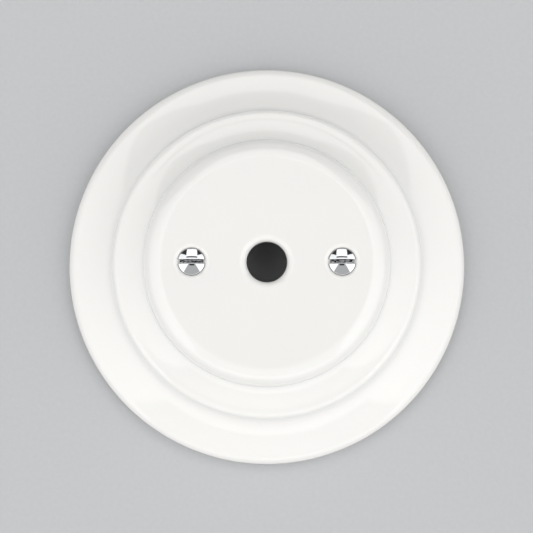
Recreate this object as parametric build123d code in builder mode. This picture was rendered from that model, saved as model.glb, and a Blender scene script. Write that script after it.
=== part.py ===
from build123d import *
from math import atan2, cos, radians, sin, sqrt, tan
import os

os.makedirs("parts", exist_ok=True)

# A round ceiling canopy of glazed porcelain, held by two slotted screws to a bracket on the ceiling.
# It lies on its rim, face up: z = 0 is the ceiling plane, the origin is the rim's centre, +Z points
# into the room, and the two screws lie along X. All sizes are in millimetres.

# Porcelain cover: overall size, wall and flat face
cover_d = 135.0
cover_h = 26.0
wall = 5.0
face_d = 69.6

# Steps of its moulded profile, from the face outwards
ovolo_r = 6.6            # quarter round at the edge of the face
upper_share = 0.404      # width of the upper hollow, as a share of both hollows
upper_drop_share = 0.337
upper_foot_slope = 3.0   # degrees at the foot of the upper hollow
bead_r = 2.4             # rounding of the bead below the upper hollow
bead_riser = 0.4         # short upright under the bead
lower_foot_slope = 12.0  # degrees at the foot of the lower hollow
rim_r = 3.66             # bullnose of the rim, above its widest place
rim_under_r = 2.9        # its return to the foot, below that place
glaze_pool_r = 0.8       # glaze gathered in the two creases

# Inside of the cover
foot_w = 3.6             # flat unglazed ring that the cover stands on
foot_rise = 2.6
inner_round = 3.0
foot_bevel = 0.6
hole_bevel = 0.5         # on the holes' inner edges

# Hole for the lamp's cord
cord_hole_d = 13.5
cord_lip_r = 2.5         # soft rounding of its mouth

# Raised countersunk slotted screws, M5 x 20
screw_spacing = 50.0
screw_length = 20.0
screw_core_d = 4.1       # shank at the root of its thread
head_d = 9.3
head_lip = 0.2           # upright edge of the head
dome_sphere_r = 9.5
slot_w = 1.5
slot_depth = 2.1
screw_tip = 0.8
screw_stand_out = 2.3    # tip below its tapped collar
shank_clearance = 0.95   # between the core and the cover's hole

# Seat of each screw in the face
seat_round = 2.0         # glazed rounding between face and seat
seat_mouth_gap = 0.05
seat_clearance = 0.02
countersink_angle = 90.0

# Ceiling bracket, bent from steel strap
strap_t = 1.5
strap_w = 22.0
bend_r = 2.0
leg_from_screw = 9.0     # from a cover screw to the top of the leg
leg_run = 2.0            # how far a leg leans out
foot_clearance = 8.0     # from the end of a foot to the cover's foot ring
foot_corner_r = 5.0
fixing_edge = 9.0        # from the end of a foot to the middle of its slot
fixing_slot_w = 4.5
fixing_slot_length = 10.0

# Ring round the ceiling's cable, and the tapped collars drawn down from the bridge
cable_opening_d = 22.0
ring_w = 5.5
collar_h = 1.6
collar_wall = 1.4
tapped_clearance = 0.05

# Earth terminal on a lug of the ring: M4 screw and toothed washer
earth_lug_r = 5.5
lug_fillet = 3.0
earth_core_d = 3.2
earth_length = 6.0
earth_head_d = 7.6
earth_head_h = 2.4
earth_head_round = 0.7
earth_slot_w = 1.1
earth_slot_depth = 1.2
earth_slot_angle = 35.0
earth_tip = 0.5
washer_d = 8.4
washer_bore_d = 4.3
washer_t = 0.7
washer_teeth = 10
tooth_gap_w = 0.9
tooth_gap_depth = 1.0
washer_clearance = 0.02

# Places worked out from the sizes above
cover_r = cover_d / 2
face_r = face_d / 2
cord_r = cord_hole_d / 2
head_r = head_d / 2
screw_x = screw_spacing / 2
lower_foot_sin = sin(radians(lower_foot_slope))
upper_foot_sin = sin(radians(upper_foot_slope))
rim_w = rim_r * (1 - lower_foot_sin)
rim_top_z = rim_under_r + rim_r * cos(radians(lower_foot_slope))
bead_w = bead_r * (1 - upper_foot_sin)
bead_drop = bead_r * cos(radians(upper_foot_slope))
hollows_w = cover_r - face_r - ovolo_r - bead_w - rim_w
hollows_drop = cover_h - ovolo_r - bead_drop - bead_riser - rim_top_z

crease_1 = Vector(face_r + ovolo_r, cover_h - ovolo_r)
bead_crest = crease_1 + Vector(hollows_w * upper_share, -hollows_drop * upper_drop_share)
bead_side = bead_crest + Vector(bead_w, -bead_drop)
crease_2 = bead_side - Vector(0, bead_riser)
rim_top = Vector(cover_r - rim_w, rim_top_z)
rim_side = Vector(cover_r, rim_under_r)
foot_outer = Vector(cover_r - rim_under_r, 0)
foot_inner = Vector(foot_outer.X - foot_w, 0)

half_countersink = radians(countersink_angle / 2)
seat_edge_run = seat_round * tan((radians(90) - half_countersink) / 2)
seat_edge_r = head_r + seat_mouth_gap + seat_edge_run * sin(half_countersink)
shank_hole_r = screw_core_d / 2 + shank_clearance
head_foot_z = cover_h - (seat_edge_r - head_r) / tan(half_countersink) + seat_clearance * sqrt(2)
head_rim_z = head_foot_z + head_lip
dome_h = dome_sphere_r - sqrt(dome_sphere_r**2 - head_r**2)
head_cone_h = (head_r - screw_core_d / 2) / tan(half_countersink)

bridge_z = head_rim_z - screw_length + screw_stand_out + collar_h
bridge_top_z = bridge_z + strap_t
bridge_end_x = screw_x + leg_from_screw
leg_foot_x = bridge_end_x + leg_run
foot_end_x = foot_inner.X - foot_clearance
fixing_x = foot_end_x - fixing_edge
ring_r = cable_opening_d / 2 + ring_w
earth_y = -(ring_r + earth_lug_r)
screw_tap_r = screw_core_d / 2 + tapped_clearance
earth_tap_r = earth_core_d / 2 + tapped_clearance
washer_z = bridge_top_z + washer_clearance
earth_seat_z = washer_z + washer_t + washer_clearance


def inwards(point, slope):
    """The place one wall thickness inside a point of the outline, where it falls at that slope."""
    return point - Vector(sin(slope), cos(slope)) * wall


def ring_edge(piece, place):
    """The circle round the axis that is nearest to a place of the section."""
    circles = piece.edges().filter_by(GeomType.CIRCLE).filter_by(lambda edge: edge.is_closed)
    return circles.sort_by(lambda edge: (Vector(edge.radius, edge.arc_center.Z) - place).length)[0]


def screw_hole_edges(piece):
    """The round edges of the screws' holes, in groups from the lowest to the highest."""
    circles = piece.edges().filter_by(GeomType.CIRCLE).filter_by(lambda edge: edge.is_closed)
    return circles.filter_by(lambda edge: abs(edge.arc_center.X) > screw_x / 2).group_by(Axis.Z)


# The cover: its section is drawn once and turned round the axis, then the screws' holes are made
with BuildPart() as porcelain_cover:
    with BuildSketch(Plane.XZ):
        with BuildLine():
            RadiusArc((cord_r, cover_h - cord_lip_r), (cord_r + cord_lip_r, cover_h), cord_lip_r)
            face_line = Line((cord_r + cord_lip_r, cover_h), (face_r, cover_h))
            RadiusArc(face_line @ 1, crease_1, ovolo_r)
            TangentArc(bead_crest, crease_1, tangent=(-cos(radians(upper_foot_slope)), upper_foot_sin))
            RadiusArc(bead_crest, bead_side, bead_r)
            Line(bead_side, crease_2)
            lower_tangent = (-cos(radians(lower_foot_slope)), lower_foot_sin)
            lower_hollow = TangentArc(rim_top, crease_2, tangent=lower_tangent)
            RadiusArc(rim_top, rim_side, rim_r)
            RadiusArc(rim_side, foot_outer, rim_under_r)
            flank_slope = atan2(crease_1.Y - crease_2.Y, crease_2.X - crease_1.X)
            hollow_middle = lower_hollow @ 0.5
            middle_rise = lower_hollow % 0.5
            middle_slope = atan2(middle_rise.Y, -middle_rise.X)
            inner_flank = inwards(crease_1, flank_slope)
            inner_ceiling = Vector(face_r, cover_h - wall)
            Polyline(
                foot_outer,
                foot_inner,
                foot_inner + Vector(0, foot_rise),
                inwards(hollow_middle, middle_slope),
                inner_flank,
                inner_ceiling,
                Vector(cord_r + hole_bevel, cover_h - wall),
                Vector(cord_r, cover_h - wall + hole_bevel),
                Vector(cord_r, cover_h - cord_lip_r),
            )
        make_face()
    revolve(axis=Axis.Z)
    for crease in (crease_1, crease_2):
        fillet(ring_edge(porcelain_cover, crease), radius=glaze_pool_r)
    for corner in (inner_flank, inner_ceiling):
        fillet(ring_edge(porcelain_cover, corner), radius=inner_round)
    chamfer(ring_edge(porcelain_cover, foot_inner), length=foot_bevel)

    with Locations((-screw_x, 0, cover_h), (screw_x, 0, cover_h)):
        CounterSinkHole(
            radius=shank_hole_r,
            counter_sink_radius=seat_edge_r,
            depth=2 * wall,
            counter_sink_angle=countersink_angle,
        )
    fillet(screw_hole_edges(porcelain_cover)[-1], radius=seat_round)
    chamfer(screw_hole_edges(porcelain_cover)[0], length=hole_bevel)
porcelain_cover.part.label = "porcelain_cover"
export_step(porcelain_cover.part, "parts/porcelain_cover.step")


def make_cover_screw(x):
    """A raised countersunk screw, seated in the face on the upright line at x."""
    section_plane = Plane(origin=(x, 0, head_rim_z), x_dir=(1, 0, 0), z_dir=(0, -1, 0))
    core_r = screw_core_d / 2
    with BuildPart() as screw:
        with BuildSketch(section_plane):
            with BuildLine():
                RadiusArc((0, dome_h), (head_r, 0), dome_sphere_r)
                Polyline(
                    (head_r, 0),
                    (head_r, -head_lip),
                    (core_r, -head_lip - head_cone_h),
                    (core_r, screw_tip - screw_length),
                    (core_r - screw_tip / 2, -screw_length),
                    (0, -screw_length),
                    (0, dome_h),
                )
            make_face()
        revolve(axis=Axis((x, 0, 0), (0, 0, 1)))
        with BuildSketch(Plane((x, 0, head_rim_z + dome_h - slot_depth))):
            Rectangle(2 * head_d, slot_w)
        extrude(amount=2 * slot_depth, mode=Mode.SUBTRACT)
    return screw.part


for name, x in (("cover_screw_left", -screw_x), ("cover_screw_right", screw_x)):
    cover_screw = make_cover_screw(x)
    cover_screw.label = name
    export_step(cover_screw, f"parts/{name}.step")

# The bracket: a bent strap, with a ring and an earth lug at its middle and a tapped collar for each screw
with BuildPart() as ceiling_bracket:
    with BuildSketch(Plane.XZ) as strap_section:
        with BuildLine():
            FilletPolyline(
                (-foot_end_x, 0),
                (-leg_foot_x, 0),
                (-bridge_end_x, bridge_z),
                (bridge_end_x, bridge_z),
                (leg_foot_x, 0),
                (foot_end_x, 0),
                radius=bend_r,
            )
            offset(amount=strap_t, side=Side.LEFT)
        make_face()
    extrude(amount=strap_w / 2, both=True)
    fillet(ceiling_bracket.edges().filter_by(Axis.Z).group_by(Axis.X)[0], radius=foot_corner_r)
    fillet(ceiling_bracket.edges().filter_by(Axis.Z).group_by(Axis.X)[-1], radius=foot_corner_r)

    with BuildSketch(Plane.XY.offset(bridge_z)):
        Circle(ring_r)
        with Locations((0, earth_y)):
            Circle(earth_lug_r)
        with Locations((0, earth_y / 2)):
            Rectangle(2 * earth_lug_r, -earth_y)
    extrude(amount=strap_t)
    bridge_corners = ceiling_bracket.edges().filter_by(Axis.Z).filter_by_position(Axis.Z, bridge_z, bridge_top_z)
    fillet(bridge_corners, radius=lug_fillet)

    with BuildSketch(Plane.XY.offset(bridge_z - collar_h)):
        with Locations((-screw_x, 0), (screw_x, 0)):
            Circle(screw_tap_r + collar_wall)
        with Locations((0, earth_y)):
            Circle(earth_tap_r + collar_wall)
    extrude(amount=collar_h)

    with Locations((0, 0, bridge_top_z)):
        Hole(radius=cable_opening_d / 2)
    with Locations((-screw_x, 0, bridge_top_z), (screw_x, 0, bridge_top_z)):
        Hole(radius=screw_tap_r)
    with Locations((0, earth_y, bridge_top_z)):
        Hole(radius=earth_tap_r)
    with BuildSketch():
        with Locations((-fixing_x, 0), (fixing_x, 0)):
            SlotOverall(fixing_slot_length, fixing_slot_w)
    extrude(amount=strap_t, mode=Mode.SUBTRACT)
ceiling_bracket.part.label = "ceiling_bracket"
export_step(ceiling_bracket.part, "parts/ceiling_bracket.step")

# The earth terminal's toothed washer lies on the lug, under the screw's head
with BuildPart() as earth_washer:
    with BuildSketch(Plane((0, earth_y, washer_z))):
        Circle(washer_d / 2)
        Circle(washer_bore_d / 2, mode=Mode.SUBTRACT)
        with PolarLocations(washer_d / 2, washer_teeth):
            Rectangle(2 * tooth_gap_depth, tooth_gap_w, mode=Mode.SUBTRACT)
    extrude(amount=washer_t)
earth_washer.part.label = "earth_washer"
export_step(earth_washer.part, "parts/earth_washer.step")

with BuildPart() as earth_screw:
    with BuildSketch(Plane(origin=(0, earth_y, earth_seat_z), x_dir=(1, 0, 0), z_dir=(0, -1, 0))) as earth_section:
        with BuildLine():
            Polyline(
                (0, earth_head_h),
                (earth_head_d / 2, earth_head_h),
                (earth_head_d / 2, 0),
                (earth_core_d / 2, 0),
                (earth_core_d / 2, earth_tip - earth_length),
                (earth_core_d / 2 - earth_tip, -earth_length),
                (0, -earth_length),
                close=True,
            )
        make_face()
        head_corner = Vector(earth_head_d / 2, earth_head_h)
        fillet(earth_section.vertices().sort_by_distance(head_corner)[0], radius=earth_head_round)
    revolve(axis=Axis((0, earth_y, 0), (0, 0, 1)))
    slot_floor = Plane((0, earth_y, earth_seat_z + earth_head_h - earth_slot_depth))
    with BuildSketch(slot_floor.rotated((0, 0, earth_slot_angle))):
        Rectangle(2 * earth_head_d, earth_slot_w)
    extrude(amount=2 * earth_slot_depth, mode=Mode.SUBTRACT)
earth_screw.part.label = "earth_screw"
export_step(earth_screw.part, "parts/earth_screw.step")
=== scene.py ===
from math import atan2, ceil, cos, pi, radians, sin, sqrt, tan

import bmesh
import bpy
from bpy.props import FloatProperty, FloatVectorProperty, PointerProperty
from bpy.types import Operator, Panel, PropertyGroup
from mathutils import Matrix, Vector


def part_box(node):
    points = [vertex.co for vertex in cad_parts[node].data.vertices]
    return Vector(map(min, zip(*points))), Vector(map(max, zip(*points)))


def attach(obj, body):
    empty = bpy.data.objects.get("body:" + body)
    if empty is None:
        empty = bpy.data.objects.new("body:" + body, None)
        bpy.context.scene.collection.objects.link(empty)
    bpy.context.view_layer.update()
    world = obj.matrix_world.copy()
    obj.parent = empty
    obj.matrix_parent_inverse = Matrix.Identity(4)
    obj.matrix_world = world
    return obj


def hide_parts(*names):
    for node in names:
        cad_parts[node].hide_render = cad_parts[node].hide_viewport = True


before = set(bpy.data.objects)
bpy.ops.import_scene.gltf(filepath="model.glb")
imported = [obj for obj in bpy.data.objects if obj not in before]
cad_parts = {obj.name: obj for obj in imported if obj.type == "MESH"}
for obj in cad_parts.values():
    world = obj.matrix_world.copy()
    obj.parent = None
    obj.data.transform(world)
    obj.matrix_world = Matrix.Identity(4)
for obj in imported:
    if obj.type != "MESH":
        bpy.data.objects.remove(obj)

bl_info = {
    "name": "Ceiling Canopy",
    "version": (1, 0, 0),
    "blender": (4, 5, 0),
    "location": "3D View > Sidebar > Canopy",
    "description": "Models a stepped porcelain ceiling canopy with its screws, bracket and earth terminal",
    "category": "Add Mesh",
}

bpy.context.view_layer.update()
COVER_LOW, COVER_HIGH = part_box("porcelain_cover")
SCREW_LOW, SCREW_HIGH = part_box("cover_screw_right")
WASHER_LOW, WASHER_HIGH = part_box("earth_washer")
EARTH_LOW, EARTH_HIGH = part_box("earth_screw")

MM = 0.001
UP = Vector((0, 1))
COUNTERSINK = radians(90)
THREAD_ANGLE = radians(60)

# How finely curves are divided: the most that one edge may turn or reach, and the steps round an axis
CURVE_TURN = radians(4)
CURVE_STEP = 0.6 * MM
COVER_STEPS = 192
SCREW_STEPS = 96
THREAD_STEPS = 36
LIP_STEPS = 180
SAME_PLACE = 0.001 * MM
SMOOTH_BELOW = radians(30)
FLAT_BELOW = radians(0.5)

# How far a corner may lie off the dome's sphere and still take its normal
DOME_FIT = 0.008 * MM
# How far the wheel that rounds the slot's lips reaches beyond its rounding, as a share
WHEEL_REACH = 1.05
# Sharpest bends of the washer that are left as they are, so that only its stamped edges are rounded
TOOTH_TWIST = radians(50)

# How soft the edges of the cards in the sky are, as a share of their distance
CARD_EDGE = 0.015
# Direction of the walls' brightest place
BRIGHT_SIDE = (0.16, -0.98, 0)

# A node that mixes two colours or numbers: its data type, its two inputs and its output
COLOURS = ("RGBA", 6, 7, 2)
NUMBERS = ("FLOAT", 2, 3, 0)


def linear(hex_colour):
    """The linear colour of an sRGB hex value such as F1F0ED."""
    parts = [int(hex_colour[i:i + 2], 16) / 255 for i in (0, 2, 4)]
    return [p / 12.92 if p <= 0.04045 else ((p + 0.055) / 1.055) ** 2.4 for p in parts] + [1.0]


def size(name, description, millimetres):
    """A length for the panel, written in millimetres and kept in metres."""
    return FloatProperty(
        name=name, description=description, default=millimetres * MM, min=0, precision=5, unit="LENGTH"
    )


def angle(name, description, degrees):
    """An angle for the panel, written in degrees."""
    return FloatProperty(name=name, description=description, default=radians(degrees), unit="ROTATION")


def share(name, description, part):
    """A share from 0 to 1 for the panel."""
    return FloatProperty(name=name, description=description, default=part, min=0, max=1, subtype="FACTOR")


def light(name, description, level):
    """A brightness for the panel, where 1 shows as white."""
    return FloatProperty(name=name, description=description, default=level, min=0)


def colour(name, description, hex_colour):
    """A colour for the panel, written as an sRGB hex value."""
    return FloatVectorProperty(
        name=name, description=description, default=linear(hex_colour), min=0, max=1, size=4, subtype="COLOR"
    )


class CanopyCoverSizes(PropertyGroup):
    """Sizes of the porcelain cover."""
    diameter: size("Diameter", "Across the rim", (COVER_HIGH.x - COVER_LOW.x) / MM)
    height: size("Height", "From the ceiling to the face", COVER_HIGH.z / MM)
    wall: size("Wall", "Thickness of the porcelain", 5)
    face_d: size("Face", "Across the flat face", 69.6)
    ovolo_r: size("Ovolo", "Quarter round at the edge of the face", 6.6)
    upper_share: share("Upper width", "Width of the upper hollow, as a share of both", 0.404)
    upper_drop_share: share("Upper drop", "Drop of the upper hollow, as a share of both", 0.337)
    upper_foot_slope: angle("Upper slope", "Slope at the foot of the upper hollow", 3)
    bead_r: size("Bead", "Rounding of the bead below the upper hollow", 2.4)
    bead_riser: size("Riser", "Short upright under the bead", 0.4)
    lower_foot_slope: angle("Lower slope", "Slope at the foot of the lower hollow", 12)
    rim_r: size("Rim", "Bullnose above the rim's widest place", 3.66)
    rim_under_r: size("Rim return", "Rounding below the rim's widest place", 2.9)
    glaze_pool_r: size("Glaze pool", "Rounding of the glaze gathered in the upper crease", 0.8)
    lower_pool_r: size("Lower glaze pool", "Rounding of the glaze gathered in the lower crease", 4.5)
    foot_w: size("Foot", "Flat ring that the cover stands on", 3.6)
    foot_rise: size("Foot rise", "Height of the foot ring inside", 2.6)
    foot_bevel: size("Foot bevel", "Bevel on the foot's inner edge", 0.6)
    inner_round: size("Inner rounding", "Rounding of the corners inside", 3)
    cord_hole_d: size("Cord hole", "Across the hole for the cord", 13.5)
    cord_lip_r: size("Cord lip", "Soft rounding of the cord hole's mouth", 2.5)
    hole_bevel: size("Hole bevel", "Bevel on the holes' inner edges", 0.5)
    seat_round: size("Seat rounding", "Glazed rounding between the face and a screw's seat", 2)
    seat_mouth_gap: size("Seat gap", "Between a screw's head and the mouth of its seat", 0.05)
    shank_clearance: size("Shank clearance", "Between a screw's core and the hole round it", 0.95)
    flat_margin: size("Flat margin", "Narrow ring that keeps the flat face flat at its edges", 0.3)


class CanopyScrewSizes(PropertyGroup):
    """Sizes of the two raised countersunk cover screws, M5 x 20."""
    spacing: size("Spacing", "Between the two screws", (SCREW_LOW.x + SCREW_HIGH.x) / MM)
    head_d: size("Head", "Across the head", 9.3)
    head_lip: size("Lip", "Height of the head's edge", 0.2)
    dome_r: size("Dome", "Radius of the sphere that the head is a part of", 9.5)
    edge_r: size("Edge", "Rounding of the head's polished edge", 0.75)
    slot_w: size("Slot", "Width of the slot", 1.5)
    slot_depth: size("Slot depth", "From the top of the dome to the slot's floor", 2.1)
    slot_lip_r: size("Slot lip", "Rounding of the slot's edges", 0.12)
    core_d: size("Core", "Across the shank at the root of its thread", 4.1)
    thread_d: size("Thread", "Across the thread", 5)
    pitch: size("Pitch", "From one turn of the thread to the next", 0.8)
    neck: size("Neck", "Plain neck between the head and the thread", 0.4)
    tip: size("Tip", "Chamfer at the screw's end", 0.8)
    seat_clearance: size("Seat clearance", "Between the head and its seat", 0.02)


class CanopyBracketSizes(PropertyGroup):
    """Edges of the pressed steel bracket, whose form comes from the frame."""
    edge_r: size("Edge", "Rounding that stamping leaves on the strap's edges", 0.15)


class CanopyEarthSizes(PropertyGroup):
    """Sizes of the earth terminal's M4 screw and its toothed washer."""
    head_h: size("Head height", "Height of the head", 2.4)
    head_round: size("Head rounding", "Rounding of the head's top edge", 0.7)
    head_bevel: size("Head bevel", "Bevel round the underside of the head", 0.15)
    slot_w: size("Slot", "Width of the slot", 1.1)
    slot_depth: size("Slot depth", "Depth of the slot", 1.2)
    slot_lip: size("Slot lip", "Bevel of the slot's edges", 0.1)
    slot_angle: angle("Slot angle", "How far the slot is turned", 35)
    core_d: size("Core", "Across the shank at the root of its thread", 3.2)
    thread_d: size("Thread", "Across the thread", 4)
    pitch: size("Pitch", "From one turn of the thread to the next", 0.7)
    neck: size("Neck", "Plain neck between the head and the thread", 0.3)
    tip: size("Tip", "Chamfer at the screw's end", 0.5)
    washer_bore_d: size("Washer bore", "Across the washer's bore", 4.3)
    washer_ring_d: size("Washer ring", "Across the washer between its teeth", 6.4)
    washer_sheet: size("Washer sheet", "Thickness of the washer's steel", 0.45)
    washer_bevel: size("Washer bevel", "Rounding of the washer's stamped edges", 0.05)


class CanopyFinishes(PropertyGroup):
    """Colours of the finishes."""
    glaze: colour("Glaze", "White glaze over porcelain", "E8E7E4")
    glaze_cloud: colour("Glaze cloud", "Where the glaze is a little thicker", "E5E4E2")
    # Pooled glaze in the creases, darkened a little further as painted crease shade
    glaze_pool_and_shade: colour("Glaze pool", "Glaze gathered in a crease", "E4E4E2")
    biscuit: colour("Biscuit", "Bare fired porcelain on the foot ring", "E4DCCD")
    chrome: colour("Chrome", "Polished chrome plate", "D4D6D8")
    chrome_slot: colour("Slot", "Sawn steel under thin plate, in the slot", "CCCDCE")
    # Painted shade in the bottoms of the saw's grooves in the slot
    saw_groove_shade: colour("Saw grooves", "Dark bottoms of the saw's grooves in the slot", "161718")
    # Painted shade of the gap round the edge of the head
    chrome_edge_shade: colour("Grime", "Dust and polish round the edge of the head", "55524E")
    zinc_blue: colour("Zinc", "Zinc plate where its film looks blue", "B3BAC4")
    zinc_straw: colour("Zinc straw", "Zinc plate where its film looks yellow", "C0BEB2")
    brass: colour("Brass", "Turned brass", "CBA65C")
    brass_dull: colour("Dull brass", "Brass that has begun to tarnish", "A98546")
    spring_steel: colour("Spring steel", "Pale hardened steel", "A2A4A7")
    spring_steel_dark: colour("Dark spring steel", "Steel with a film of oil", "7F8184")
    floor: colour("Floor", "Pale grey floor", "BCBDBE")
    floor_grain: colour("Floor grain", "Slightly darker grain in the floor", "B5B6B8")


class CanopyStudio(PropertyGroup):
    """The camera, the floor and the room that lights the object."""
    camera_distance: size("Camera distance", "From the rim's plane to the camera", 730)
    camera_tilt: angle("Camera tilt", "How far the camera stands off the axis", 3.7)
    camera_aim: FloatVectorProperty(
        name="Camera aim", description="Place that the camera aims at",
        default=(-0.00012, -0.00018, 0.003), precision=5, subtype="TRANSLATION",
    )
    lens: FloatProperty(name="Lens", description="Focal length in millimetres", default=144.2)
    floor_w: size("Floor", "Across the floor", 40000)
    backdrop: light("Backdrop light", "Pale band round the horizon", 0.58)
    wall: light("Wall light", "White walls round the camera, where they are brightest", 2.0)
    far_wall: light("Far wall light", "The same walls, where they are darkest", 1.36)
    table: light("Table light", "Grey space under the camera", 0.6)
    near_table: light("Near table light", "White table in front of the object", 1.9)
    dark: light("Dark light", "Dark space round the soft box", 0.05)
    soft_box: light("Soft box light", "Soft box above the camera", 1.55)


class CanopySettings(PropertyGroup):
    """All that a user would change."""
    cover: PointerProperty(type=CanopyCoverSizes)
    screw: PointerProperty(type=CanopyScrewSizes)
    bracket: PointerProperty(type=CanopyBracketSizes)
    earth: PointerProperty(type=CanopyEarthSizes)
    finish: PointerProperty(type=CanopyFinishes)
    studio: PointerProperty(type=CanopyStudio)


# Modelling helpers. A section is drawn upright, and a place in it is its distance from the axis and its
# height.

def turned(arm, turn):
    """An arm of a section turned clockwise, from straight up towards the outside."""
    return Vector((arm.x * cos(turn) + arm.y * sin(turn), arm.y * cos(turn) - arm.x * sin(turn)))


def heading(arm):
    """How far an arm of a section is turned clockwise from straight up."""
    return atan2(arm.x, arm.y)


def shorter(turn):
    """The same turn by the shorter way round."""
    return (turn + pi) % (2 * pi) - pi


class Pencil:
    """Draws a section in edit mode. Straight runs are extruded and arcs are spun."""

    def __init__(self, name, start, axis_x=0.0):
        self.axis_x = axis_x
        self.place = Vector(start)
        bpy.ops.object.select_all(action="DESELECT")
        bpy.ops.mesh.primitive_plane_add(size=MM, location=(axis_x + self.place.x, 0, self.place.y))
        self.piece = bpy.context.object
        self.piece.name = self.piece.data.name = name
        bpy.ops.object.transform_apply(location=True, rotation=False, scale=False)
        bpy.ops.object.mode_set(mode="EDIT")
        bpy.ops.mesh.select_mode(type="VERT")
        bpy.ops.mesh.select_all(action="SELECT")
        bpy.ops.mesh.merge(type="CENTER")

    def line(self, *end):
        """A straight run to a place."""
        move = Vector(end) - self.place
        bpy.ops.mesh.extrude_vertices_move(TRANSFORM_OT_translate={"value": (move.x, 0, move.y)})
        self.place = self.place + move

    def arc(self, centre, turn):
        """An arc round a centre, clockwise for a positive turn."""
        arm = self.place - centre
        steps = max(2, ceil(abs(turn) / CURVE_TURN), ceil(abs(turn) * arm.length / CURVE_STEP))
        middle = (self.axis_x + centre.x, 0, centre.y)
        bpy.ops.mesh.spin(steps=steps, angle=-turn, center=middle, axis=(0, 1, 0))
        self.place = centre + turned(arm, turn)

    def arc_to(self, centre, end):
        """An arc round a centre, by the shorter way, until it faces a place."""
        self.arc(centre, shorter(heading(end - centre) - heading(self.place - centre)))

    def corner(self, corner, after, radius):
        """A straight run to a corner's rounding, and that rounding, which turns towards the place after."""
        ahead = (corner - self.place).normalized()
        turn = shorter(heading(after - corner) - heading(ahead))
        self.line(*(corner - ahead * radius * tan(abs(turn) / 2)))
        side = pi / 2 if turn > 0 else -pi / 2
        self.arc(self.place + turned(ahead, side) * radius, turn)

    def lathe(self, steps):
        """Turns the section round its axis and hands the piece back in object mode."""
        bpy.ops.mesh.select_all(action="SELECT")
        bpy.ops.mesh.spin(steps=steps, angle=2 * pi, center=(self.axis_x, 0, 0), axis=(0, 0, 1))
        bpy.ops.mesh.select_all(action="SELECT")
        bpy.ops.mesh.remove_doubles(threshold=SAME_PLACE)
        bpy.ops.mesh.normals_make_consistent(inside=False)
        bpy.ops.object.mode_set(mode="OBJECT")
        return self.piece


def activate(*pieces):
    """Selects only these pieces and makes the first one active."""
    bpy.ops.object.select_all(action="DESELECT")
    for piece in pieces:
        piece.select_set(True)
    bpy.context.view_layer.objects.active = pieces[0]


def joined(*pieces):
    """The pieces as one object, which keeps the first one's name."""
    activate(*pieces)
    bpy.ops.object.join()
    return pieces[0]


def select_parts(piece, kind, wanted):
    """Selects, in edit mode, the vertices, edges or faces for which a test holds."""
    bpy.ops.mesh.select_mode(type=kind)
    bpy.ops.mesh.select_all(action="DESELECT")
    mesh = bmesh.from_edit_mesh(piece.data)
    parts = {"VERT": mesh.verts, "EDGE": mesh.edges, "FACE": mesh.faces}[kind]
    chosen = [part for part in parts if wanted(part)]
    if not chosen:
        raise RuntimeError(f"{piece.name} has nothing of the wanted kind to select")
    for part in chosen:
        part.select_set(True)
    bmesh.update_edit_mesh(piece.data)


def lies_at(height, edge):
    """Whether an edge lies at a height."""
    return all(abs(vertex.co.z - height) < 5 * SAME_PLACE for vertex in edge.verts)


def open_at(*heights):
    """A test for open edges that lie at one of the heights."""
    return lambda edge: edge.is_boundary and any(lies_at(height, edge) for height in heights)


def face_outwards(piece):
    """Turns the faces of a closed piece outwards and smooths its slight bends."""
    activate(piece)
    bpy.ops.object.mode_set(mode="EDIT")
    bpy.ops.mesh.select_all(action="SELECT")
    bpy.ops.mesh.normals_make_consistent(inside=False)
    bpy.ops.object.mode_set(mode="OBJECT")
    bpy.ops.object.shade_smooth_by_angle(angle=SMOOTH_BELOW)


def apply_modifier(piece, kind, **settings):
    """Adds a modifier with its settings and applies it."""
    activate(piece)
    modifier = piece.modifiers.new(kind.title(), kind)
    for name, value in settings.items():
        setattr(modifier, name, value)
    bpy.ops.object.modifier_apply(modifier=modifier.name)


def cut_away(piece, cutter):
    """Cuts one form out of a piece and removes the form."""
    apply_modifier(piece, "BOOLEAN", operation="DIFFERENCE", solver="EXACT", object=cutter)
    bpy.data.objects.remove(cutter)


def place_at(piece, place):
    """Moves a piece and puts its place into its mesh."""
    activate(piece)
    piece.location = place
    bpy.ops.object.transform_apply(location=True, rotation=True, scale=True)


def threaded_rod(name, sizes, low, high):
    """A length of screw thread round the upright axis, open at both ends."""
    core_r, crest_r, pitch = sizes.core_d / 2, sizes.thread_d / 2, sizes.pitch
    flank = (crest_r - core_r) * tan(THREAD_ANGLE / 2)
    crest = pitch / 8
    root = pitch - crest - 2 * flank
    start = low - pitch
    pencil = Pencil(name, (core_r, start))
    pencil.line(core_r, start + root)
    pencil.line(crest_r, start + root + flank)
    pencil.line(crest_r, start + root + flank + crest)
    pencil.line(core_r, start + pitch)
    bpy.ops.object.mode_set(mode="OBJECT")
    rod = pencil.piece
    apply_modifier(
        rod, "SCREW", axis="Z", angle=2 * pi, screw_offset=pitch, iterations=ceil((high - low) / pitch) + 2,
        steps=THREAD_STEPS, render_steps=THREAD_STEPS,
    )
    bpy.ops.object.mode_set(mode="EDIT")
    bpy.ops.mesh.select_all(action="SELECT")
    bpy.ops.mesh.remove_doubles(threshold=SAME_PLACE)
    for height, side in ((high, {"clear_outer": True}), (low, {"clear_inner": True})):
        bpy.ops.mesh.select_all(action="SELECT")
        bpy.ops.mesh.bisect(plane_co=(0, 0, height), plane_no=(0, 0, 1), threshold=SAME_PLACE, **side)
    bpy.ops.object.mode_set(mode="OBJECT")
    return rod


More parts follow.
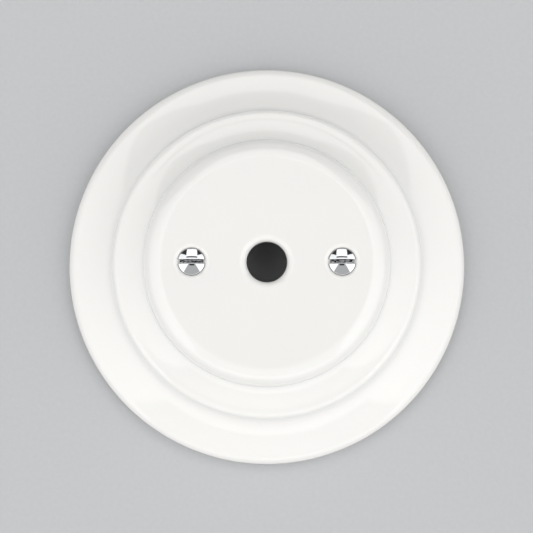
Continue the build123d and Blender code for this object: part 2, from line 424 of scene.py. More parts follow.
def join_thread(head, sizes, neck_z, tip_z):
    """Cuts a closed head off at its neck and joins it to a thread that ends in a chamfered tip."""
    activate(head)
    bpy.ops.object.mode_set(mode="EDIT")
    bpy.ops.mesh.select_all(action="SELECT")
    bpy.ops.mesh.bisect(plane_co=(0, 0, neck_z), plane_no=(0, 0, 1), threshold=SAME_PLACE, clear_inner=True)
    bpy.ops.object.mode_set(mode="OBJECT")
    thread_top, thread_low = neck_z - sizes.neck, tip_z + sizes.tip
    screw = joined(head, threaded_rod("thread", sizes, thread_low, thread_top))
    tip_share = 1 - sizes.tip / sizes.core_d
    bpy.ops.object.mode_set(mode="EDIT")
    select_parts(screw, "EDGE", open_at(neck_z, thread_top))
    bpy.ops.mesh.bridge_edge_loops()
    select_parts(screw, "EDGE", open_at(thread_low))
    bpy.ops.mesh.extrude_edges_move(TRANSFORM_OT_translate={"value": (0, 0, -sizes.tip)})
    bpy.ops.transform.resize(value=(tip_share, tip_share, 1), center_override=(0, 0, 0))
    bpy.ops.mesh.edge_face_add()
    bpy.ops.object.mode_set(mode="OBJECT")
    face_outwards(screw)
    return screw


def slot_bar(length, width, floor_z, top_z):
    """A bar that cuts a slot along X, with its lower edges rounded as a worn saw leaves them."""
    bpy.ops.object.select_all(action="DESELECT")
    bpy.ops.mesh.primitive_cube_add(
        size=1, location=(0, 0, (floor_z + top_z) / 2), scale=(length, width, top_z - floor_z)
    )
    bar = bpy.context.object
    bpy.ops.object.transform_apply(location=True, rotation=True, scale=True)
    bpy.ops.object.mode_set(mode="EDIT")
    select_parts(bar, "EDGE", lambda edge: lies_at(floor_z, edge) and edge.calc_length() > length / 2)
    bpy.ops.mesh.bevel(offset=width / 8, segments=3, affect="EDGES")
    bpy.ops.object.mode_set(mode="OBJECT")
    return bar


# Materials

def add_node(tree, kind, settings=(), links=()):
    """Adds a node. Settings are its properties or its sockets' values, and links join sockets to outputs."""
    node = tree.nodes.new(kind)
    for name, value in dict(settings).items():
        if isinstance(name, str) and hasattr(node, name):
            setattr(node, name, value)
        else:
            node.inputs[name].default_value = value
    for name, output in dict(links).items():
        tree.links.new(output, node.inputs[name])
    return node


def noise(tree, place, feature, detail):
    """Noise with features about that many metres wide."""
    settings = {"Scale": 1 / feature, "Detail": detail}
    return add_node(tree, "ShaderNodeTexNoise", settings, {"Vector": place}).outputs[0]


def spread(tree, value, low, high):
    """A value from 0 to 1, spread between two others."""
    return add_node(tree, "ShaderNodeMapRange", {"To Min": low, "To Max": high}, {"Value": value}).outputs[0]


def fade(tree, value, start, end, most=1.0):
    """0 before the start and the most beyond the end, with a soft change between them."""
    settings = {"interpolation_type": "SMOOTHSTEP", "From Min": start, "From Max": end, "To Max": most}
    return add_node(tree, "ShaderNodeMapRange", settings, {"Value": value}).outputs[0]


def blend(tree, factor, first, second, kind=COLOURS):
    """A mix of two colours or numbers. Each is a value or another node's output."""
    data_type, first_socket, second_socket, result = kind
    settings, links = {"data_type": data_type}, {"Factor": factor}
    for socket, side in ((first_socket, first), (second_socket, second)):
        (links if isinstance(side, bpy.types.NodeSocket) else settings)[socket] = side
    return add_node(tree, "ShaderNodeMix", settings, links).outputs[result]


def vector_math(tree, operation, place, operand=(0, 0, 0)):
    """A place and a fixed vector, combined to a vector or to a number, as the operation has it."""
    node = add_node(tree, "ShaderNodeVectorMath", {"operation": operation, 1: operand}, {0: place})
    return node.outputs["Value" if operation in ("DISTANCE", "DOT_PRODUCT", "LENGTH") else "Vector"]


def off_axis(tree, place):
    """How far a place is from the upright axis."""
    return vector_math(tree, "LENGTH", vector_math(tree, "MULTIPLY", place, (1, 1, 0)))


def split(tree, place):
    """The three parts of a place."""
    return add_node(tree, "ShaderNodeSeparateXYZ", links={0: place}).outputs


def fold(tree, place):
    """A place, mirrored onto the side where X is positive."""
    parts = split(tree, place)
    across = add_node(tree, "ShaderNodeMath", {"operation": "ABSOLUTE"}, {0: parts["X"]}).outputs[0]
    links = {"X": across, "Y": parts["Y"], "Z": parts["Z"]}
    return add_node(tree, "ShaderNodeCombineXYZ", links=links).outputs[0]


def stretched(tree, place, times, turn=0.0):
    """Coordinates that stretch a texture along X, in a direction turned about Z."""
    settings = {"vector_type": "TEXTURE", "Rotation": (0, 0, turn), "Scale": (times, 1, 1)}
    return add_node(tree, "ShaderNodeMapping", settings, {"Vector": place}).outputs[0]


def relief(tree, depth, height, **links):
    """The normals of a relief that is as deep as given."""
    return add_node(tree, "ShaderNodeBump", {"Distance": depth}, {"Height": height, **links}).outputs[0]


def start_material(name):
    """An empty material, its tree and its object coordinates."""
    material = bpy.data.materials.new(name)
    material.use_nodes = True
    material.node_tree.nodes.clear()
    place = add_node(material.node_tree, "ShaderNodeTexCoord").outputs["Object"]
    return material, material.node_tree, place


def finish_material(tree, settings, links):
    """Ends a material in one shader."""
    shader = add_node(tree, "ShaderNodeBsdfPrincipled", settings, links)
    add_node(tree, "ShaderNodeOutputMaterial", links={"Surface": shader.outputs[0]})


def glazed_porcelain(finish, creases):
    """White porcelain under a clear fired glaze, bare on the foot ring.

    Its reflections are sharp and swim a little, because the glaze flows while it is fired. It is a little
    greyer in the creases, from pooled glaze and painted shade. The bare foot is matt, warm and gritty."""
    material, tree, place = start_material("glazed_porcelain")
    height = split(tree, place)["Z"]
    in_section = {"X": off_axis(tree, place), "Z": height}
    section = add_node(tree, "ShaderNodeCombineXYZ", links=in_section).outputs[0]
    body = blend(tree, noise(tree, place, 22 * MM, 3), finish.glaze, finish.glaze_cloud)
    # Greyer near each crease: glaze that pools there, and painted shade of the crease
    for crease in creases:
        from_crease = vector_math(tree, "DISTANCE", section, (crease.x, 0, crease.y))
        body = blend(tree, fade(tree, from_crease, 1.8 * MM, 0.3 * MM), body, finish.glaze_pool_and_shade)
    # The glaze stops in an uneven line just above the foot
    edge = {0: noise(tree, place, 4 * MM, 2), 2: height}
    uneven = add_node(tree, "ShaderNodeMath", {"operation": "MULTIPLY_ADD", 1: -0.5 * MM}, edge).outputs[0]
    bare = fade(tree, uneven, 0.4 * MM, 0.25 * MM)
    skin = blend(tree, bare, body, finish.biscuit)
    gloss = spread(tree, noise(tree, place, 7 * MM, 4), 0.04, 0.09)
    rough = blend(tree, bare, gloss, 0.85, NUMBERS)
    wavy = relief(tree, 0.03 * MM, noise(tree, place, 14 * MM, 1))
    gritty = relief(tree, 0.05 * MM, noise(tree, place, 0.35 * MM, 4), Strength=bare, Normal=wavy)
    finish_material(tree, {"IOR": 1.5}, {"Base Color": skin, "Roughness": rough, "Normal": gritty})
    return material


def polished_chrome(finish, screw_x, head_r, dome_z, slot_r):
    """Chrome over polished steel: a clear mirror on the dome with faint hairlines from wiping.

    Polishing doesn't reach into the slot, which shows the saw's streaks with painted shade in their
    grooves and painted light along its lower side. The head's very edge is darkened with painted shade."""
    material, tree, place = start_material("polished_chrome")
    folded = fold(tree, place)
    depth = vector_math(tree, "DISTANCE", folded, (screw_x, 0, dome_z))
    unpolished = fade(tree, depth, slot_r, slot_r - 0.25 * MM)
    # Drawn several times coarser than a saw leaves them, so that they show
    grain = noise(tree, stretched(tree, place, 3), 0.3 * MM, 3)
    contrast = {"From Min": 0.42, "From Max": 0.62}
    streak = add_node(tree, "ShaderNodeMapRange", contrast, {"Value": grain}).outputs[0]
    # The saw's streaks, with painted shade in the bottoms of their grooves
    streaked = blend(tree, streak, finish.saw_groove_shade, finish.chrome_slot)
    # Painted light along the slot's lower side thins out the streaks' painted shade
    lit_lower_side = fade(tree, split(tree, place)["Y"], -0.2 * MM, -0.4 * MM, most=0.75)
    sawn_skin = blend(tree, lit_lower_side, streaked, finish.chrome_slot)
    plated = blend(tree, unpolished, finish.chrome, sawn_skin)
    # Painted shade of the gap round the head darkens its very edge
    reach = off_axis(tree, vector_math(tree, "SUBTRACT", folded, (screw_x, 0, 0)))
    edge_shade = fade(tree, reach, head_r - 0.32 * MM, head_r - 0.05 * MM)
    skin = blend(tree, edge_shade, plated, finish.chrome_edge_shade)
    hairs = noise(tree, stretched(tree, place, 12, turn=0.7), 0.15 * MM, 2)
    rough = blend(tree, unpolished, spread(tree, hairs, 0.02, 0.06), 0.32, NUMBERS)
    sawn = relief(tree, 0.02 * MM, streak, Strength=unpolished)
    finish_material(tree, {"Metallic": 1.0}, {"Base Color": skin, "Roughness": rough, "Normal": sawn})
    return material


def zinc_plated_strap(finish):
    """Bright zinc on rolled strap: satin, with the mill's grain along it and faint blue and straw tints."""
    material, tree, place = start_material("zinc_plated_strap")
    body = blend(tree, noise(tree, place, 9 * MM, 3), finish.zinc_blue, finish.zinc_straw)
    grain = noise(tree, stretched(tree, place, 30), 0.25 * MM, 3)
    satin = spread(tree, grain, 0.3, 0.48)
    rolled = relief(tree, 0.008 * MM, grain)
    finish_material(tree, {"Metallic": 1.0}, {"Base Color": body, "Roughness": satin, "Normal": rolled})
    return material


def turned_brass(finish, axis_place):
    """Brass as the lathe leaves it: fine rings round the screw's axis, and dull patches."""
    material, tree, place = start_material("turned_brass")
    centred = vector_math(tree, "SUBTRACT", place, axis_place)
    patch = noise(tree, place, 2.5 * MM, 4)
    body = blend(tree, patch, finish.brass, finish.brass_dull)
    # Tool marks are nearer 0.05 mm apart, and are drawn coarser so that they show
    ring_gap = 0.18 * MM
    rings = {"wave_type": "RINGS", "rings_direction": "Z", "Scale": 1 / ring_gap * pi / 10, "Distortion": 0.4}
    wave = add_node(tree, "ShaderNodeTexWave", rings, {"Vector": centred}).outputs["Fac"]
    marks = relief(tree, 0.006 * MM, wave)
    satin = spread(tree, patch, 0.24, 0.4)
    finish_material(tree, {"Metallic": 1.0}, {"Base Color": body, "Roughness": satin, "Normal": marks})
    return material


def oiled_spring_steel(finish):
    """Hardened steel with a thin film of oil: grey, satin and a little blotchy."""
    material, tree, place = start_material("oiled_spring_steel")
    blotch = noise(tree, place, 1.6 * MM, 4)
    body = blend(tree, blotch, finish.spring_steel, finish.spring_steel_dark)
    satin = spread(tree, blotch, 0.28, 0.45)
    finish_material(tree, {"Metallic": 1.0}, {"Base Color": body, "Roughness": satin})
    return material


def painted_board(finish):
    """Matt painted board under the object: pale grey with the faint grain of a roller."""
    material, tree, place = start_material("painted_board")
    body = blend(tree, noise(tree, place, 1.5 * MM, 3), finish.floor, finish.floor_grain)
    finish_material(tree, {"Roughness": 0.9}, {"Base Color": body})
    return material


def finish_piece(piece, material, slot, *nodes):
    """Gives a piece its material, hangs it on the root body and hides the frame's nodes that it is drawn in
    place of.
    """
    piece.data.materials.clear()
    piece.data.materials.append(material)
    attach(piece, "root")
    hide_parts(*nodes)


# The porcelain cover

def crossing(first, first_r, second, second_r, near):
    """The crossing of two circles that is nearer to a place."""
    apart = second - first
    along = (first_r ** 2 - second_r ** 2 + apart.length_squared) / (2 * apart.length)
    middle = first + apart.normalized() * along
    side = Vector((-apart.y, apart.x)).normalized() * sqrt(first_r ** 2 - along ** 2)
    return min((middle + side, middle - side), key=lambda place: (place - near).length)


def hollow_circle(crest, slope, crease):
    """The centre and radius of the hollow that leaves a crest at a slope and rises to a crease."""
    chord = crease - crest
    radius = chord.length / (2 * sin(atan2(chord.y, -chord.x) - slope))
    return crest + turned(UP, slope) * radius, radius


def draw_moulding(cover):
    """The cover's outline from its face over the rim to the ceiling inside, with its two creases."""
    face_r, outer_r = cover.face_d / 2, cover.diameter / 2
    pool_r, lower_pool_r, margin = cover.glaze_pool_r, cover.lower_pool_r, cover.flat_margin
    bead_up = turned(UP, cover.upper_foot_slope)
    rim_centre = Vector((outer_r - cover.rim_r, cover.rim_under_r))
    rim_top = rim_centre + turned(UP, cover.lower_foot_slope) * cover.rim_r
    rim_side = Vector((outer_r, cover.rim_under_r))
    under_centre = rim_side - Vector((cover.rim_under_r, 0))
    ovolo_centre = Vector((face_r, cover.height - cover.ovolo_r))
    crease_1 = ovolo_centre + Vector((cover.ovolo_r, 0))
    bead_step = Vector((1 - bead_up.x, -bead_up.y)) * cover.bead_r
    riser = Vector((0, cover.bead_riser))
    hollows = rim_top + riser - crease_1 - bead_step
    bead_crest = crease_1 + Vector((hollows.x * cover.upper_share, hollows.y * cover.upper_drop_share))
    bead_side = bead_crest + bead_step
    crease_2 = bead_side - riser
    upper_centre, upper_r = hollow_circle(bead_crest, cover.upper_foot_slope, crease_1)
    lower_centre, lower_r = hollow_circle(rim_top, cover.lower_foot_slope, crease_2)
    pool_1 = crossing(ovolo_centre, cover.ovolo_r + pool_r, upper_centre, upper_r - pool_r, crease_1)
    bead_centre = bead_crest - bead_up * cover.bead_r
    pool_2 = crossing(bead_centre, cover.bead_r + lower_pool_r, lower_centre, lower_r - lower_pool_r, crease_2)

    pencil = Pencil("cover_porcelain", (face_r - margin, cover.height))
    pencil.line(face_r, cover.height)
    pencil.arc_to(ovolo_centre, pool_1)
    pencil.arc_to(pool_1, 2 * pool_1 - upper_centre)
    pencil.arc_to(upper_centre, bead_crest)
    pencil.arc_to(bead_centre, pool_2)
    pencil.arc_to(pool_2, 2 * pool_2 - lower_centre)
    pencil.arc_to(lower_centre, rim_top)
    pencil.arc_to(rim_centre, rim_side)
    pencil.arc_to(under_centre, under_centre - UP)

    foot_x = under_centre.x - cover.foot_w
    inner_z = cover.height - cover.wall
    halfway = (heading(rim_top - lower_centre) + heading(crease_2 - lower_centre)) / 2
    inner_middle = lower_centre + turned(UP, halfway) * (lower_r + cover.wall)
    flank_slope = atan2(crease_1.y - crease_2.y, crease_2.x - crease_1.x)
    inner_flank = crease_1 - turned(UP, flank_slope) * cover.wall
    inner_ceiling = Vector((face_r, inner_z))
    pencil.line(foot_x + cover.foot_bevel, 0)
    pencil.line(foot_x, cover.foot_bevel)
    pencil.line(foot_x, cover.foot_rise)
    pencil.line(*inner_middle)
    pencil.corner(inner_flank, inner_ceiling, cover.inner_round)
    pencil.corner(inner_ceiling, Vector((0, inner_z)), cover.inner_round)
    pencil.line(pencil.place.x - margin, inner_z)
    return pencil.lathe(COVER_STEPS), (crease_1, crease_2)


def draw_cord_hole(cover):
    """The wall of the hole for the cord, with its soft glazed mouth."""
    hole_r, lip_r, top_z = cover.cord_hole_d / 2, cover.cord_lip_r, cover.height
    inner_z, inner_r = top_z - cover.wall, hole_r + cover.hole_bevel
    pencil = Pencil("cord_hole", (hole_r + lip_r + cover.flat_margin, top_z))
    pencil.line(hole_r + lip_r, top_z)
    pencil.arc(Vector((hole_r + lip_r, top_z - lip_r)), -pi / 2)
    pencil.line(hole_r, inner_z + cover.hole_bevel)
    pencil.line(inner_r, inner_z)
    pencil.line(inner_r + cover.flat_margin, inner_z)
    return pencil.lathe(SCREW_STEPS)


def seat_edge(cover, screw):
    """Where a seat's cone would meet the face without its rounding, and how far that rounding runs."""
    run = cover.seat_round * tan((pi / 2 - COUNTERSINK / 2) / 2)
    return screw.head_d / 2 + cover.seat_mouth_gap + run * sin(COUNTERSINK / 2), run


def draw_seat(cover, screw, x):
    """A screw's seat in the face: a rounded mouth, a cone and a hole for the shank."""
    edge_r, run = seat_edge(cover, screw)
    hole_r = screw.core_d / 2 + cover.shank_clearance
    top_z, inner_z = cover.height, cover.height - cover.wall
    pencil = Pencil("screw_seat", (edge_r + run + cover.flat_margin, top_z), axis_x=x)
    pencil.line(edge_r + run, top_z)
    pencil.arc(Vector((edge_r + run, top_z - cover.seat_round)), COUNTERSINK / 2 - pi / 2)
    pencil.line(hole_r, pencil.place.y - (pencil.place.x - hole_r) / tan(COUNTERSINK / 2))
    pencil.line(hole_r, inner_z + cover.hole_bevel)
    pencil.line(hole_r + cover.hole_bevel, inner_z)
    pencil.line(hole_r + cover.hole_bevel + cover.flat_margin, inner_z)
    return pencil.lathe(SCREW_STEPS)


class CANOPY_OT_make_cover(Operator):
    """Model the stepped porcelain cover with its cord hole and screw seats"""
    bl_idname = "canopy.make_cover"
    bl_label = "Make Cover"

    def execute(self, context):
        settings = context.scene.canopy
        cover, screw = settings.cover, settings.screw
        moulding, creases = draw_moulding(cover)
        holes = [draw_cord_hole(cover)]
        holes += [draw_seat(cover, screw, x) for x in (-screw.spacing / 2, screw.spacing / 2)]
        piece = joined(moulding, *holes)
        bpy.ops.object.mode_set(mode="EDIT")
        for height in (cover.height, cover.height - cover.wall):
            select_parts(piece, "EDGE", open_at(height))
            bpy.ops.mesh.fill()
        bpy.ops.object.mode_set(mode="OBJECT")
        face_outwards(piece)
        finish_piece(piece, glazed_porcelain(settings.finish, creases), "porcelain", "porcelain_cover")
        return {"FINISHED"}


# The cover screws

def draw_lip_wheel(screw):
    """A wheel whose flanks leave rounded edges along the slot in the dome. Its axis lies along Y."""
    # A little narrower than the slot, so that their sides don't coincide
    half = screw.slot_w / 2 - screw.slot_lip_r / 10
    across = half + screw.slot_lip_r
    reach = sqrt((screw.dome_r - screw.slot_lip_r) ** 2 - across ** 2)
    inner_r = reach - screw.slot_lip_r
    low, high = Vector((reach, -across)), Vector((reach, across))
    pencil = Pencil("lip_wheel", (inner_r, -half))
    pencil.line(reach, -half)
    pencil.arc_to(low, 2 * low)
    pencil.line(*(pencil.place * WHEEL_REACH))
    pencil.line(pencil.place.x, -pencil.place.y)
    pencil.line(*(high.normalized() * screw.dome_r))
    pencil.arc_to(high, high - UP)
    pencil.line(inner_r, half)
    pencil.line(inner_r, -half)
    wheel = pencil.lathe(LIP_STEPS)
    wheel.rotation_euler.x = pi / 2
    return wheel


def polish_dome(piece, centre, radius):
    """Gives the dome the exact normals of its sphere, so that it mirrors without ripples."""
    mesh = piece.data
    normals = [Vector(corner.vector) for corner in mesh.corner_normals]
    for face in mesh.polygons:
        arms = [mesh.vertices[v].co - centre for v in face.vertices]
        if all(abs(arm.length - radius) < DOME_FIT for arm in arms):
            for corner, arm in zip(face.loop_indices, arms):
                normals[corner] = arm.normalized()
    mesh.normals_split_custom_set(normals)


class CANOPY_OT_make_cover_screws(Operator):
    """Model the two domed slotted screws that hold the cover"""
    bl_idname = "canopy.make_cover_screws"
    bl_label = "Make Cover Screws"

    def execute(self, context):
        settings = context.scene.canopy
        cover, screw = settings.cover, settings.screw
        head_r, core_r = screw.head_d / 2, screw.core_d / 2
        dome_r, edge_r = screw.dome_r, screw.edge_r
        foot_z = cover.height - (seat_edge(cover, screw)[0] - head_r) / tan(COUNTERSINK / 2)
        foot_z += screw.seat_clearance * sqrt(2)
        dome_centre = Vector((0, foot_z + screw.head_lip - sqrt(dome_r ** 2 - head_r ** 2)))
        edge_x = head_r - edge_r
        edge_centre = dome_centre + Vector((edge_x, sqrt((dome_r - edge_r) ** 2 - edge_x ** 2)))
        foot_r = edge_x + sqrt(edge_r ** 2 - (foot_z - edge_centre.y) ** 2)
        top_z = dome_centre.y + dome_r
        neck_z = foot_z - (foot_r - core_r) / tan(COUNTERSINK / 2) - screw.neck

        pencil = Pencil("cover_screw_chromed_right", (0, top_z))
        pencil.arc_to(dome_centre, edge_centre)
        pencil.arc_to(edge_centre, Vector((foot_r, foot_z)))
        pencil.line(core_r, neck_z + screw.neck)
        pencil.line(core_r, neck_z - screw.neck)
        pencil.line(0, neck_z - screw.neck)
        head = pencil.lathe(SCREW_STEPS)
        floor_z, above_z = top_z - screw.slot_depth, top_z + screw.slot_depth
        cut_away(head, slot_bar(2 * screw.head_d, screw.slot_w, floor_z, above_z))
        wheel = draw_lip_wheel(screw)
        wheel.location.z = dome_centre.y
        cut_away(head, wheel)
        right = join_thread(head, screw, neck_z, SCREW_LOW.z)
        polish_dome(right, Vector((0, 0, dome_centre.y)), dome_r)
        chrome = polished_chrome(
            settings.finish, screw.spacing / 2, head_r, dome_centre.y, dome_r - screw.slot_lip_r
        )
        activate(right)
        bpy.ops.object.duplicate(linked=False)
        left = bpy.context.object
        left.name = left.data.name = "cover_screw_chromed_left"
        for piece, x, node in (
            (right, screw.spacing / 2, "cover_screw_right"), (left, -screw.spacing / 2, "cover_screw_left")
        ):
            place_at(piece, (x, 0, 0))
            finish_piece(piece, chrome, "chromed_screw", node)
        return {"FINISHED"}


# The bracket

class CANOPY_OT_make_bracket(Operator):
    """Take the bracket's bent strap from the frame and round its stamped edges"""
    bl_idname = "canopy.make_bracket"
    bl_label = "Make Bracket"

    def execute(self, context):
        settings = context.scene.canopy
        piece = bpy.data.objects.new("bracket_strap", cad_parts["ceiling_bracket"].data.copy())
        piece.data.name = "bracket_strap"
        context.scene.collection.objects.link(piece)
        activate(piece)
        bpy.ops.mesh.customdata_custom_splitnormals_clear()
        bpy.ops.object.mode_set(mode="EDIT")
        bpy.ops.mesh.select_all(action="SELECT")
        bpy.ops.mesh.remove_doubles(threshold=SAME_PLACE)
        bpy.ops.mesh.select_all(action="SELECT")
        bpy.ops.mesh.dissolve_limited(angle_limit=FLAT_BELOW)
        bpy.ops.object.mode_set(mode="OBJECT")
        apply_modifier(
            piece, "BEVEL", width=settings.bracket.edge_r, segments=2, limit_method="ANGLE",
            angle_limit=SMOOTH_BELOW, use_clamp_overlap=True,
        )
        face_outwards(piece)
        apply_modifier(piece, "WEIGHTED_NORMAL", keep_sharp=True)
        finish_piece(piece, zinc_plated_strap(settings.finish), "zinc_plated_steel", "ceiling_bracket")
        return {"FINISHED"}


# The earth terminal

def make_earth_screw(earth, axis_place, finish):
    """The brass screw with its flat slotted head."""
    head_r, core_r = (EARTH_HIGH.x - EARTH_LOW.x) / 2, earth.core_d / 2
    top_z, seat_z = EARTH_HIGH.z, EARTH_HIGH.z - earth.head_h
    neck_z = seat_z - earth.neck
    pencil = Pencil("earth_screw_brass", (0, top_z))
    pencil.line(head_r - earth.head_round, top_z)
    pencil.arc(Vector((head_r - earth.head_round, top_z - earth.head_round)), pi / 2)
    pencil.line(head_r, seat_z + earth.head_bevel)
    pencil.line(head_r - earth.head_bevel, seat_z)
    pencil.line(core_r, seat_z)
    pencil.line(core_r, neck_z - earth.neck)
    pencil.line(0, neck_z - earth.neck)
    head = pencil.lathe(SCREW_STEPS)
    bar = slot_bar(3 * head_r, earth.slot_w, top_z - earth.slot_depth, top_z - earth.slot_lip)
    flare = 1 + 4 * earth.slot_lip / earth.slot_w
    activate(bar)
    bpy.ops.object.mode_set(mode="EDIT")
    select_parts(bar, "FACE", lambda face: face.normal.z > 0.9)
    bpy.ops.mesh.extrude_region_move(TRANSFORM_OT_translate={"value": (0, 0, 2 * earth.slot_lip)})
    bpy.ops.transform.resize(value=(1, flare, 1), center_override=(0, 0, 0))
    bpy.ops.object.mode_set(mode="OBJECT")
    bar.rotation_euler.z = earth.slot_angle
    cut_away(head, bar)
    piece = join_thread(head, earth, neck_z, EARTH_LOW.z)
    place_at(piece, axis_place)
    finish_piece(piece, turned_brass(finish, axis_place), "brass", "earth_screw")


def make_earth_washer(earth, axis_place, finish):
    """The toothed washer, each tooth twisted so that its corners bite."""
    teeth, tooth_edges, gap_edges = 10, 4, 2
    ring_r, outer_r = earth.washer_ring_d / 2, (WASHER_HIGH.y - WASHER_LOW.y) / 2
    steps = teeth * (tooth_edges + gap_edges)
    lift = (WASHER_HIGH.z - WASHER_LOW.z - earth.washer_sheet) / 2
    widen, reach = earth.washer_ring_d / earth.washer_bore_d, outer_r / ring_r

    def step_of(place):
        return round(atan2(place.y, place.x) / (2 * pi) * steps * 2) / 2 % (tooth_edges + gap_edges)

    bpy.ops.object.select_all(action="DESELECT")
    bpy.ops.mesh.primitive_circle_add(
        vertices=steps, radius=earth.washer_bore_d / 2, fill_type="NOTHING"
    )
    piece = bpy.context.object
    piece.name = piece.data.name = "earth_washer_toothed"
    bpy.ops.object.mode_set(mode="EDIT")
    bpy.ops.mesh.select_all(action="SELECT")
    bpy.ops.mesh.extrude_edges_move(TRANSFORM_OT_translate={"value": (0, 0, 0)})
    bpy.ops.transform.resize(value=(widen, widen, 1), center_override=(0, 0, 0))
    select_parts(
        piece, "EDGE",
        lambda edge: all(abs(v.co.length - ring_r) < SAME_PLACE for v in edge.verts)
        and 0 < step_of((edge.verts[0].co + edge.verts[1].co) / 2) < tooth_edges,
    )
    bpy.ops.mesh.extrude_edges_move(TRANSFORM_OT_translate={"value": (0, 0, 0)})
    bpy.ops.transform.resize(value=(reach, reach, 1), center_override=(0, 0, 0))
    for step in range(tooth_edges + 1):
        select_parts(piece, "VERT", lambda v: v.co.xy.length > ring_r + SAME_PLACE and step_of(v.co) == step)
        bpy.ops.transform.translate(value=(0, 0, lift * (1 - 2 * step / tooth_edges)))
    bpy.ops.object.mode_set(mode="OBJECT")
    apply_modifier(piece, "SOLIDIFY", thickness=earth.washer_sheet, offset=0)
    apply_modifier(
        piece, "BEVEL", width=earth.washer_bevel, segments=2, limit_method="ANGLE", angle_limit=TOOTH_TWIST
    )
    face_outwards(piece)
    place_at(piece, (axis_place.x, axis_place.y, (WASHER_LOW.z + WASHER_HIGH.z) / 2))
    finish_piece(piece, oiled_spring_steel(finish), "spring_washer", "earth_washer")


class CANOPY_OT_make_earth_terminal(Operator):
    """Model the brass earth screw and the toothed washer under its head"""
    bl_idname = "canopy.make_earth_terminal"
    bl_label = "Make Earth Terminal"

    def execute(self, context):
        settings = context.scene.canopy
        axis_place = Vector((0, (EARTH_LOW.y + EARTH_HIGH.y) / 2, 0))
        make_earth_screw(settings.earth, axis_place, settings.finish)
        make_earth_washer(settings.earth, axis_place, settings.finish)
        return {"FINISHED"}


# The stage

def light_room(studio):
    """The room as the object sees it: white walls at both sides, a soft box in a dark space, a grey table.

    A card is the part of the sky above all of its planes, and it is the same left and right. A plane is
    its normal, and the backdrop's is also moved against its normal and has a softer edge."""
    cards = (
        (studio.table, ((-1, -0.71, 0.166),)),
        (studio.near_table, ((-1, -0.71, 0.166), (0, -0.62, -1))),
        (studio.dark, ((-0.52, 1, -0.36),)),
        (studio.dark, ((-1, 0, 0.42), (0, 1, -0.355), (0, -1, 0.5))),
        (studio.soft_box, ((-1, 0.108, 0.385), (0, 1, -0.47), (0, -1, 1.52))),
        (studio.dark, ((-1, 0, 0.17), (0, 1, 0.225), (0, -1, 0.18))),
        (studio.backdrop, ((-0.14, 0, -1, 0.27, 0.14),)),
    )
    world = bpy.data.worlds.new("studio_room")
    bpy.context.scene.world = world
    world.use_nodes = True
    tree = world.node_tree
    tree.nodes.clear()
    direction = add_node(tree, "ShaderNodeTexCoord").outputs["Generated"]
    folded = fold(tree, direction)
    gradient = {"From Min": -0.5, "From Max": 0.5, "To Min": studio.far_wall, "To Max": studio.wall}
    nearness = vector_math(tree, "DOT_PRODUCT", direction, BRIGHT_SIDE)
    level = add_node(tree, "ShaderNodeMapRange", gradient, {"Value": nearness}).outputs[0]
    for strength, planes in cards:
        card = None
        for plane in planes:
            offset, edge = plane[3:] or (0, CARD_EDGE)
            above = vector_math(tree, "DOT_PRODUCT", folded, Vector(plane[:3]).normalized())
            inside = fade(tree, above, -offset - edge, -offset + edge)
            if card:
                both = {0: card, 1: inside}
                inside = add_node(tree, "ShaderNodeMath", {"operation": "MULTIPLY"}, both).outputs[0]
            card = inside
        level = blend(tree, card, level, strength, NUMBERS)
    room = add_node(tree, "ShaderNodeBackground", {"Color": linear("FFFFFF")}, {"Strength": level})
    add_node(tree, "ShaderNodeOutputWorld", links={"Surface": room.outputs[0]})


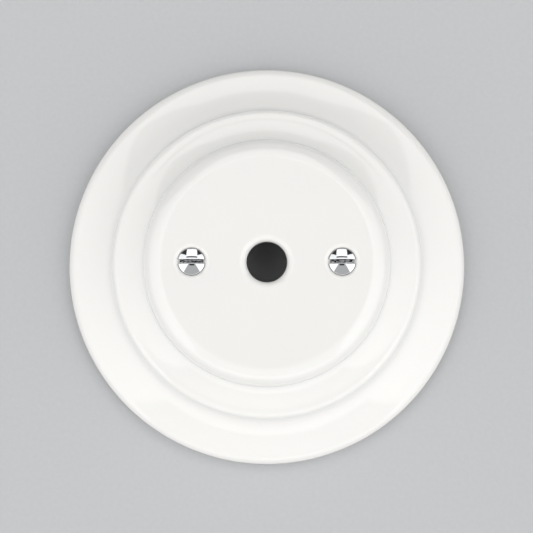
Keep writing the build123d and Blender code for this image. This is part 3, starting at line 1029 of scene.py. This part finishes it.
class CANOPY_OT_set_stage(Operator):
    """Add the floor, the light of the room and the camera"""
    bl_idname = "canopy.set_stage"
    bl_label = "Set Stage"

    def execute(self, context):
        settings = context.scene.canopy
        studio, scene = settings.studio, context.scene
        bpy.ops.object.select_all(action="DESELECT")
        bpy.ops.mesh.primitive_plane_add(size=studio.floor_w, location=(0, 0, 0))
        floor = context.object
        floor.name = "studio_floor"
        floor.data.materials.append(painted_board(settings.finish))
        light_room(studio)
        back = Vector((0, -sin(studio.camera_tilt), cos(studio.camera_tilt))) * studio.camera_distance
        camera_place = Vector(studio.camera_aim) + back
        bpy.ops.object.camera_add(location=camera_place, rotation=(studio.camera_tilt, 0, 0))
        camera = context.object
        camera.name = "photo_camera"
        camera.data.lens = studio.lens
        scene.camera = camera
        scene.view_settings.view_transform = "Standard"
        return {"FINISHED"}


class CANOPY_PT_sidebar(Panel):
    """The canopy's operators with the sizes and colours that they use"""
    bl_label = "Ceiling Canopy"
    bl_space_type = "VIEW_3D"
    bl_region_type = "UI"
    bl_category = "Canopy"

    def draw(self, context):
        settings = context.scene.canopy
        for operator, group_name in PANEL_ROWS:
            self.layout.operator(operator.bl_idname)
            self.draw_group(getattr(settings, group_name))
        self.draw_group(settings.finish)

    def draw_group(self, group):
        for name in type(group).__annotations__:
            self.layout.prop(group, name)


PANEL_ROWS = (
    (CANOPY_OT_make_cover, "cover"),
    (CANOPY_OT_make_cover_screws, "screw"),
    (CANOPY_OT_make_bracket, "bracket"),
    (CANOPY_OT_make_earth_terminal, "earth"),
    (CANOPY_OT_set_stage, "studio"),
)

CLASSES = (
    CanopyCoverSizes,
    CanopyScrewSizes,
    CanopyBracketSizes,
    CanopyEarthSizes,
    CanopyFinishes,
    CanopyStudio,
    CanopySettings,
    CANOPY_OT_make_cover,
    CANOPY_OT_make_cover_screws,
    CANOPY_OT_make_bracket,
    CANOPY_OT_make_earth_terminal,
    CANOPY_OT_set_stage,
    CANOPY_PT_sidebar,
)


def register():
    for cls in CLASSES:
        bpy.utils.register_class(cls)
    bpy.types.Scene.canopy = PointerProperty(type=CanopySettings)


def unregister():
    del bpy.types.Scene.canopy
    for cls in reversed(CLASSES):
        bpy.utils.unregister_class(cls)


def main():
    """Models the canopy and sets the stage."""
    register()
    bpy.ops.canopy.make_cover()
    bpy.ops.canopy.make_cover_screws()
    bpy.ops.canopy.make_bracket()
    bpy.ops.canopy.make_earth_terminal()
    bpy.ops.canopy.set_stage()


if __name__ == "__main__":
    main()
